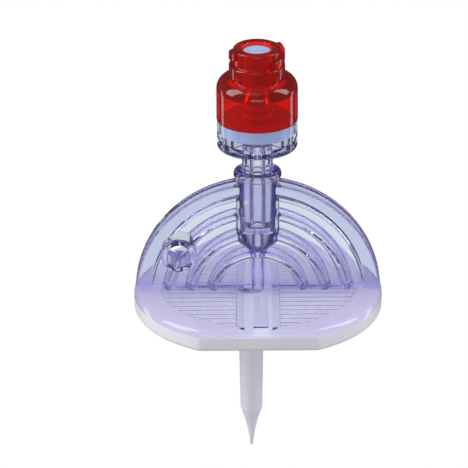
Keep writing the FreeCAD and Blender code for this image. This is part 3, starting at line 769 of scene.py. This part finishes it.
class MESH_OT_cover_shell(bpy.types.Operator):
    """Clear one-piece moulding: cover plate, grip wall, hub and side boss"""
    bl_idname = "mesh.cover_shell"
    bl_label = "Clear cover"

    def execute(self, context):
        plate, grip, hub, finishes = groups_of(context, "plate", "grip", "hub", "finishes")
        axis = plate.hub_x
        piece = plate_blank("cover", plate, plate.seam_z, plate.top_z, plate.top_z, plate.top_edge)
        step_z, step_reach = plate.top_z - FLOOR_STEP, plate.floor_radius + FLOOR_STEP
        floor = [(0, plate.floor_z), (plate.floor_radius, plate.floor_z), (plate.floor_radius, step_z)]
        floor += arc_points((step_reach, step_z + CONTACT), FLOOR_STEP, 180, 90, steps=5)[1:]
        floor += [(step_reach, plate.top_z + OVERLAP), (0, plate.top_z + OVERLAP)]
        cut_with(piece, turned("floor", floor, axis, PLATE_FACETS))

        buried_z = (plate.seam_z + plate.field_depth + plate.floor_z) / 2
        cut_with(piece, cover_wall(plate, grip, buried_z), "UNION")
        tube_top = hub.foot_z - hub.radius + hub.tube_radius
        collar_foot = hub.collar_z + hub.collar_radius - hub.radius
        body = [(0, buried_z), (hub.tube_radius, buried_z), (hub.tube_radius, tube_top),
                (hub.radius, hub.foot_z), (hub.radius, hub.collar_z), (hub.collar_radius, collar_foot),
                (hub.collar_radius, hub.top_z, hub.edge), (0, hub.top_z)]
        cut_with(piece, turned("hub", rounded(body), axis), "UNION")
        boss = add_rod("boss", grip.boss_radius, (grip.boss_x, -grip.boss_reach, grip.boss_z),
                       (grip.boss_x, 0, grip.boss_z), NARROW_FACETS)
        bpy.ops.object.mode_set(mode="EDIT")
        select_parts(boss, "EDGE", lambda e: all(abs(v.co.y + grip.boss_reach) < NEAR for v in e.verts))
        bpy.ops.mesh.bevel(offset=grip.boss_edge, segments=5, affect="EDGES")
        bpy.ops.object.mode_set(mode="OBJECT")
        cut_with(piece, boss, "UNION")
        cut_with(piece, add_rod("boss_bore", grip.boss_bore, (grip.boss_x, -2 * grip.boss_reach, grip.boss_z),
                                (grip.boss_x, 2 * grip.boss_reach, grip.boss_z), NARROW_FACETS))

        low, high = plate.seam_z - OVERLAP, plate.seam_z + plate.field_depth
        steps = int((plate.field_radius - plate.rib_width) / plate.rib_pitch)
        for side in (-1, 1):
            field = d_field("field", axis, side, plate.field_radius, plate.field_reach, low, high)
            for step in range(-steps, steps + 1):
                near, far = sorted((axis + side * plate.rib_start, axis + side * plate.radius))
                cut_with(field, add_block(
                    "rib", (near, step * plate.rib_pitch - plate.rib_width / 2, low - OVERLAP),
                    (far, step * plate.rib_pitch + plate.rib_width / 2, high + OVERLAP)))
            cut_with(piece, field)
        cut_with(piece, add_block("channel", (axis + plate.vent_left, plate.vent_front, low),
                                  (axis + plate.vent_right, plate.channel_end, high)))
        cut_with(piece, add_block("vent", (axis + plate.vent_left, plate.vent_front, low),
                                  (axis + plate.vent_right, plate.vent_back, plate.top_z + OVERLAP)))
        cut_with(piece, add_rod("spigot", hub.spigot_radius, (0, 0, hub.spigot_z), (0, 0, buried_z)), "UNION")
        socket_floor = hub.socket_mouth - hub.taper * (hub.top_z - hub.socket_z)
        way = [(0, hub.spigot_z - OVERLAP), (hub.bore, hub.spigot_z - OVERLAP), (hub.bore, hub.socket_z),
               (socket_floor, hub.socket_z), (hub.socket_mouth + hub.taper * OVERLAP, hub.top_z + OVERLAP),
               (0, hub.top_z + OVERLAP)]
        cut_with(piece, turned("way", way, axis, NARROW_FACETS))
        material = clear_plastic("clear_violet_plastic", finishes.violet, finishes.violet_density,
                                 roughness=0.03, body=finishes.clear_body, share=finishes.clear_share)
        finish(piece, "cover_shell", material)
        return {"FINISHED"}


class MESH_OT_valve_base(bpy.types.Operator):
    """Clear lower housing: male luer, ribbed seat for the piston's flange, and cannula"""
    bl_idname = "mesh.valve_base"
    bl_label = "Valve, lower housing"

    def execute(self, context):
        plate, hub, valve, finishes = groups_of(context, "plate", "hub", "valve", "finishes")
        axis = plate.hub_x
        tip = hub.socket_mouth - hub.taper * (hub.top_z - valve.male_z) - valve.clearance
        neck = hub.socket_mouth + hub.taper * (valve.base_z - hub.top_z) - valve.clearance
        top = valve.split_z - SEAM_GAP
        outline = [
            (valve.male_bore, valve.male_z), (tip, valve.male_z, MALE_EDGE), (neck, valve.base_z, MALE_EDGE),
            (valve.base_radius, valve.base_z, valve.base_edge), (valve.base_radius, top, SPLIT_EDGE),
            (valve.seat_radius, top), (valve.seat_radius, valve.seat_z), (valve.pocket_radius, valve.seat_z),
            (valve.pocket_radius, valve.pocket_z, POCKET_EDGE),
            (valve.cannula_radius, valve.pocket_z, POCKET_EDGE),
            (valve.cannula_radius, valve.cannula_z, POCKET_EDGE), (valve.cannula_bore, valve.cannula_z),
            (valve.cannula_bore, valve.pocket_z), (valve.male_bore, valve.base_z),
        ]
        piece = turned("valve_base", rounded(outline), axis)
        bars = []
        for index in range(SEAT_RIBS):
            inner = (valve.cannula_radius - RIB_BURIED, -valve.seat_rib / 2, valve.pocket_z - RIB_BURIED)
            outer = (valve.pocket_radius + RIB_BURIED, valve.seat_rib / 2, valve.seat_z - CONTACT)
            bar = add_block("seat_rib", inner, outer)
            bpy.ops.object.mode_set(mode="EDIT")
            bpy.ops.mesh.select_all(action="SELECT")
            bpy.ops.transform.rotate(value=index * FULL_TURN / SEAT_RIBS, orient_axis="Z",
                                     center_override=(0, 0, 0))
            bpy.ops.transform.translate(value=(axis, 0, 0))
            bpy.ops.object.mode_set(mode="OBJECT")
            bars.append(bar)
        cut_with(piece, join(bars[0], bars[1:]), "UNION")
        material = clear_plastic("clear_plastic", finishes.clear, finishes.clear_density,
                                 roughness=0.03, body=finishes.clear_body, share=finishes.clear_share)
        finish(piece, "valve_base", material)
        return {"FINISHED"}


def thread_lug(valve, axis_x, start):
    """One helical lug of the luer thread: its section, swept up round the neck and cut off at the port."""
    root = valve.neck_radius - valve.neck_edge
    rise = valve.lug_lead * valve.lug_sweep / FULL_TURN
    foot = valve.lug_z - rise / 2
    section = [(root, foot - valve.lug_root / 2), (valve.lug_radius, foot - valve.lug_crest / 2, LUG_EDGE),
               (valve.lug_radius, foot + valve.lug_crest / 2, LUG_EDGE), (root, foot + valve.lug_root / 2)]
    turn = Matrix.Rotation(start - valve.lug_sweep / 2, 3, "Z")
    piece = draw_outline("lug", rounded(section, steps=4), lambda out, up: turn @ Vector((out, 0, up)))
    bpy.ops.object.mode_set(mode="OBJECT")
    sweep = piece.modifiers.new("sweep", "SCREW")
    sweep.angle = valve.lug_sweep
    sweep.screw_offset = rise
    sweep.steps = sweep.render_steps = LUG_STEPS
    bpy.ops.object.modifier_apply(modifier=sweep.name)
    bpy.ops.object.mode_set(mode="EDIT")
    bpy.ops.mesh.select_all(action="SELECT")
    bpy.ops.transform.translate(value=(axis_x, 0, 0))
    bpy.ops.mesh.fill_holes(sides=0)
    recalculate_normals()
    bpy.ops.mesh.bisect(plane_co=(0, 0, valve.port_z - LUG_TRIM), plane_no=(0, 0, 1),
                        use_fill=True, clear_outer=True, threshold=MERGE)
    bpy.ops.object.mode_set(mode="OBJECT")
    return piece


class MESH_OT_valve_cap(bpy.types.Operator):
    """Red upper housing: skirt, round shoulder, threaded luer neck and tapered port"""
    bl_idname = "mesh.valve_cap"
    bl_label = "Valve, upper housing"

    def execute(self, context):
        plate, hub, valve, finishes = groups_of(context, "plate", "hub", "valve", "finishes")
        axis = plate.hub_x
        port_floor = hub.socket_mouth - hub.taper * (valve.port_z - valve.port_floor)
        shoulder_z = valve.shoulder_z + valve.shoulder_radius
        collar = valve.cap_radius - valve.shoulder_radius
        outline = [
            (valve.chamber_radius, valve.split_z, CHAMBER_EDGE),
            (valve.cap_radius, valve.split_z, SPLIT_EDGE),
            (valve.cap_radius, shoulder_z, valve.shoulder_radius - CONTACT), (collar, shoulder_z, CREASE),
            (collar, valve.collar_z, COLLAR_EDGE), (valve.neck_radius, valve.collar_z, NECK_EDGE),
            (valve.neck_radius, valve.port_z, valve.neck_edge), (hub.socket_mouth, valve.port_z, NECK_EDGE),
            (port_floor, valve.port_floor), (valve.chamber_radius, valve.cone_z),
        ]
        piece = turned("valve_cap", rounded(outline, steps=10), axis)
        for index in range(THREAD_STARTS):
            start = index * FULL_TURN / THREAD_STARTS - valve.lug_turn
            cut_with(piece, thread_lug(valve, axis, start), "UNION")
        material = clear_plastic("clear_red_plastic", finishes.red, finishes.red_density,
                                 roughness=0.04, body=finishes.red_body, share=finishes.red_share)
        finish(piece, "valve_cap", material)
        return {"FINISHED"}


class MESH_OT_valve_piston(bpy.types.Operator):
    """Silicone piston: clamped flange, thin bellows and slit head that closes the port"""
    bl_idname = "mesh.valve_piston"
    bl_label = "Silicone piston"

    def execute(self, context):
        plate, hub, valve, piston, finishes = groups_of(
            context, "plate", "hub", "valve", "piston", "finishes")
        axis = plate.hub_x
        waist = piston.bellows_radius - piston.fold_depth
        flange_top = valve.split_z - 2 * SEAM_GAP
        fold = (piston.bellows_z - flange_top) / BELLOWS_FOLDS
        foot_z, thin = valve.seat_z + SEAM_GAP, waist - piston.wall
        outside = [(piston.flange_radius, foot_z, FLANGE_EDGE),
                   (piston.flange_radius, flange_top, FLANGE_EDGE), (waist, flange_top, FLANGE_EDGE)]
        inside = [(thin, foot_z), (thin, flange_top, FLANGE_EDGE)]
        for index in range(BELLOWS_FOLDS):
            crest, valley = flange_top + (index + 0.5) * fold, flange_top + (index + 1) * fold
            outside += [(piston.bellows_radius, crest, CREST_ROUNDING), (waist, valley, VALLEY_ROUNDING)]
            inside += [(piston.bellows_radius - piston.wall, crest, INNER_ROUNDING),
                       (thin, valley, INNER_ROUNDING)]
        foot_radius = piston.head_radius - hub.taper * (piston.head_z - piston.head_foot_z)
        outside += [(foot_radius, piston.head_foot_z), (piston.head_radius, piston.head_z, piston.head_edge)]
        inside += [(piston.cavity_radius, piston.head_foot_z), (piston.cavity_radius, piston.cavity_z)]
        outline = rounded(outside + [(0, piston.head_z), (0, piston.cavity_z)] + inside[::-1])
        piece = turned("valve_piston", outline, axis, NARROW_FACETS)
        half_long, half_wide = piston.slit_length / 2, piston.slit_width / 2
        cut_with(piece, add_block("slit", (axis - half_long, -half_wide, piston.cavity_z - OVERLAP),
                                  (axis + half_long, half_wide, piston.head_z + OVERLAP)))
        finish(piece, "valve_piston", silicone(finishes.silicone))
        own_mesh(piece)
        return {"FINISHED"}


# Studio

def choose_by_ray(nodes, links, plain, choices):
    """A plain shader for light on the object, and others for the rays that the choices name."""
    path, last = nodes.new("ShaderNodeLightPath"), plain
    for ray, shader in choices:
        choice = nodes.new("ShaderNodeMixShader")
        links.new(path.outputs[ray], choice.inputs["Fac"])
        links.new(last.outputs[0], choice.inputs[1])
        links.new(shader.outputs[0], choice.inputs[2])
        last = choice
    return last


def one_colour(nodes, kind, shade):
    """A shader of one plain colour."""
    shader = nodes.new(kind)
    shader.inputs["Color"].default_value = (*shade, 1)
    return shader


def add_ramp(nodes, links, value, glow, stops):
    """Colours a glow by a value, from (value, colour) stops."""
    ramp = nodes.new("ShaderNodeValToRGB")
    links.new(value, ramp.inputs["Fac"])
    first, last = ramp.color_ramp.elements
    first.position, first.color = stops[0][0], (*stops[0][1], 1)
    last.position, last.color = stops[-1][0], (*stops[-1][1], 1)
    for position, shade in stops[1:-1]:
        ramp.color_ramp.elements.new(position).color = (*shade, 1)
    links.new(ramp.outputs["Color"], glow.inputs["Color"])


def stage_material(name):
    """A material without its usual shader, with its nodes and links."""
    material, nodes, links = new_material(name)
    nodes.remove(nodes["Principled BSDF"])
    return material, nodes, links


def add_floor(strength):
    """A pale floor. Clear plastic sees it pale blue with a painted shadow under the object, and gloss sees it
    dark.
    """
    deselect()
    floor_z = CAD_BOX[0][2] - FLOOR_DROP
    bpy.ops.mesh.primitive_plane_add(size=FLOOR_SIZE, location=(0, 0, floor_z))
    floor = name_last("pale_floor")
    bpy.ops.object.transform_apply(location=True, rotation=True, scale=True)
    material, nodes, links = stage_material("pale_floor")
    plain, glass = one_colour(nodes, "ShaderNodeBsdfDiffuse", FLOOR_SHADE), nodes.new("ShaderNodeEmission")
    place = nodes.new("ShaderNodeTexCoord")
    flat, reach = nodes.new("ShaderNodeVectorMath"), nodes.new("ShaderNodeVectorMath")
    flat.operation, reach.operation = "MULTIPLY", "LENGTH"
    flat.inputs[1].default_value = (1, 1, 0)
    links.new(place.outputs["Object"], flat.inputs[0])
    links.new(flat.outputs[0], reach.inputs[0])
    # The dark stop near the middle is a painted shadow under the object
    add_ramp(nodes, links, reach.outputs["Value"], glass,
             [(0.04, PAINTED_FLOOR_SHADOW), (0.10, PALE_BACKDROP), (1.0, PALE_BACKDROP)])
    gloss = one_colour(nodes, "ShaderNodeEmission", DARK_ROOM)
    seen = one_colour(nodes, "ShaderNodeEmission", (strength, strength, strength))
    last = choose_by_ray(nodes, links, plain, (
        ("Is Glossy Ray", gloss), ("Is Transmission Ray", glass), ("Is Camera Ray", seen)))
    links.new(last.outputs[0], nodes["Material Output"].inputs["Surface"])
    floor.data.materials.append(material)


def add_card(name, azimuth, distance, width, top, shade, glass_sees):
    """An upright card beside the object that only light through glass sees, or else only gloss."""
    deselect()
    turn = math.radians(azimuth)
    place = Vector((math.sin(turn), math.cos(turn), 0)) * distance
    place.z = (CARD_FOOT + top) / 2
    bpy.ops.mesh.primitive_plane_add(size=1, location=place, rotation=(math.pi / 2, 0, -turn))
    card = name_last(name)
    card.scale = (width, top - CARD_FOOT, 1)
    bpy.ops.object.transform_apply(location=True, rotation=True, scale=True)
    material, nodes, links = stage_material(name)
    glow = one_colour(nodes, "ShaderNodeEmission", shade)
    links.new(glow.outputs[0], nodes["Material Output"].inputs["Surface"])
    card.data.materials.append(material)
    card.visible_camera = card.visible_diffuse = card.visible_shadow = card.visible_volume_scatter = False
    card.visible_glossy, card.visible_transmission = not glass_sees, glass_sees


def add_lamp(name, target, azimuth, elevation, distance, width, height, glow):
    """A soft box that faces the target. Azimuth 0 is behind the object, and 90 is to its right."""
    data = bpy.data.lights.new(name, "AREA")
    data.shape = "RECTANGLE"
    data.size, data.size_y = width, height
    data.energy = glow * math.pi * width * height
    lamp = bpy.data.objects.new(name, data)
    bpy.context.collection.objects.link(lamp)
    a, e = math.radians(azimuth), math.radians(elevation)
    away = Vector((math.sin(a) * math.cos(e), math.cos(a) * math.cos(e), math.sin(e)))
    lamp.location = target + away * distance
    lamp.rotation_euler = away.to_track_quat("Z", "Y").to_euler()


def add_world():
    """A pale room. Clear plastic sees it dark above a pale rim, and gloss sees it dark."""
    world = bpy.data.worlds.new("studio")
    bpy.context.scene.world = world
    world.use_nodes = True
    nodes, links = world.node_tree.nodes, world.node_tree.links
    room, glass = nodes["Background"], nodes.new("ShaderNodeBackground")
    room.inputs["Color"].default_value = (*ROOM_SHADE, 1)
    room.inputs["Strength"].default_value = ROOM_STRENGTH
    place, split = nodes.new("ShaderNodeTexCoord"), nodes.new("ShaderNodeSeparateXYZ")
    links.new(place.outputs["Generated"], split.inputs[0])
    add_ramp(nodes, links, split.outputs["Z"], glass,
             [(0.0, PALE_BACKDROP), (0.08, DARK_SKY), (0.62, DARK_SKY), (0.95, HIGH_SKY)])
    gloss = one_colour(nodes, "ShaderNodeBackground", DARK_ROOM)
    seen = one_colour(nodes, "ShaderNodeBackground", (1, 1, 1))
    last = choose_by_ray(nodes, links, room, (
        ("Is Glossy Ray", gloss), ("Is Transmission Ray", glass), ("Is Camera Ray", seen)))
    links.new(last.outputs[0], nodes["World Output"].inputs["Surface"])


def add_camera(seam):
    """Camera at the photograph's angle: it looks along +Y and down, turned a little about its view."""
    back = Vector((0, -math.cos(VIEW_ELEVATION), math.sin(VIEW_ELEVATION)))
    data = bpy.data.cameras.new("camera")
    data.sensor_width = 36.0
    data.clip_start, data.clip_end = 0.01, 20.0
    data.lens = data.sensor_width * PIXELS_PER_METRE * VIEW_DISTANCE / FRAME_PIXELS
    camera = bpy.data.objects.new("camera", data)
    bpy.context.collection.objects.link(camera)
    facing = back.to_track_quat("Z", "Y").to_matrix() @ Matrix.Rotation(VIEW_ROLL, 3, "Z")
    frame_middle = Vector((FRAME_PIXELS / 2, FRAME_PIXELS / 2))
    shift = (frame_middle - Vector(SEAM_PIXEL)) / PIXELS_PER_METRE
    right, up = facing @ Vector((1, 0, 0)), facing @ Vector((0, 1, 0))
    camera.location = seam + right * shift.x - up * shift.y + back * VIEW_DISTANCE
    camera.rotation_euler = facing.to_euler()
    bpy.context.scene.camera = camera


class SCENE_OT_spike_studio(bpy.types.Operator):
    """Pale floor, soft boxes, cards, world and camera"""
    bl_idname = "scene.spike_studio"
    bl_label = "Studio"

    def execute(self, context):
        plate, finishes = groups_of(context, "plate", "finishes")
        target = Vector((plate.hub_x, 0, LAMP_TARGET_Z))
        add_floor(finishes.backdrop)
        add_lamp("left_soft_box", target, -96, 36, distance=0.40, width=0.20, height=0.40, glow=4.9)
        add_lamp("right_soft_box", target, 88, 34, distance=0.40, width=0.14, height=0.40, glow=4.9)
        add_lamp("top_soft_box", target, 200, 62, distance=0.45, width=0.30, height=0.20, glow=0.6)
        add_lamp("front_soft_box", target, 180, 4, distance=0.45, width=0.30, height=0.16, glow=1.8)
        for azimuth in (-114, -66, 66, 114):
            add_card("dark_flag", azimuth, 90 * MM, 44 * MM, 60 * MM, FLAG_SHADE, glass_sees=True)
        for azimuth in (-40, 40):
            add_card("dark_flag", azimuth, 110 * MM, 30 * MM, 60 * MM, FLAG_SHADE, glass_sees=True)
        for azimuth in (-66, 68):
            add_card("edge_light", azimuth, 120 * MM, 22 * MM, 30 * MM, EDGE_LIGHT_SHADE, glass_sees=False)
        add_world()
        add_camera(Vector((plate.hub_x, 0, plate.seam_z)))
        context.scene.view_settings.view_transform = "Standard"
        return {"FINISHED"}


class VIEW3D_PT_dispensing_spike(bpy.types.Panel):
    """Lists the pieces and their sizes"""
    bl_label = "Dispensing spike"
    bl_space_type = "VIEW_3D"
    bl_region_type = "UI"
    bl_category = "Dispensing spike"

    def draw(self, context):
        for operator in PIECES:
            self.layout.operator(operator.bl_idname)
        for name, group in GROUPS.items():
            box = self.layout.box()
            box.label(text=group.__name__)
            for prop in group.__annotations__:
                box.prop(getattr(context.scene, name), prop)


PIECES = (MESH_OT_spike_base, MESH_OT_filter_membranes, MESH_OT_cover_shell, MESH_OT_valve_base,
          MESH_OT_valve_cap, MESH_OT_valve_piston, SCENE_OT_spike_studio)
CLASSES = (*GROUPS.values(), *PIECES, VIEW3D_PT_dispensing_spike)


def register():
    for item in CLASSES:
        bpy.utils.register_class(item)
    for name, group in GROUPS.items():
        setattr(bpy.types.Scene, name, bpy.props.PointerProperty(type=group))


def unregister():
    for name in GROUPS:
        delattr(bpy.types.Scene, name)
    for item in reversed(CLASSES):
        bpy.utils.unregister_class(item)


def main():
    register()
    bpy.ops.mesh.spike_base()
    bpy.ops.mesh.filter_membranes()
    bpy.ops.mesh.cover_shell()
    bpy.ops.mesh.valve_base()
    bpy.ops.mesh.valve_cap()
    bpy.ops.mesh.valve_piston()
    bpy.ops.scene.spike_studio()
    deselect()


if __name__ == "__main__":
    main()
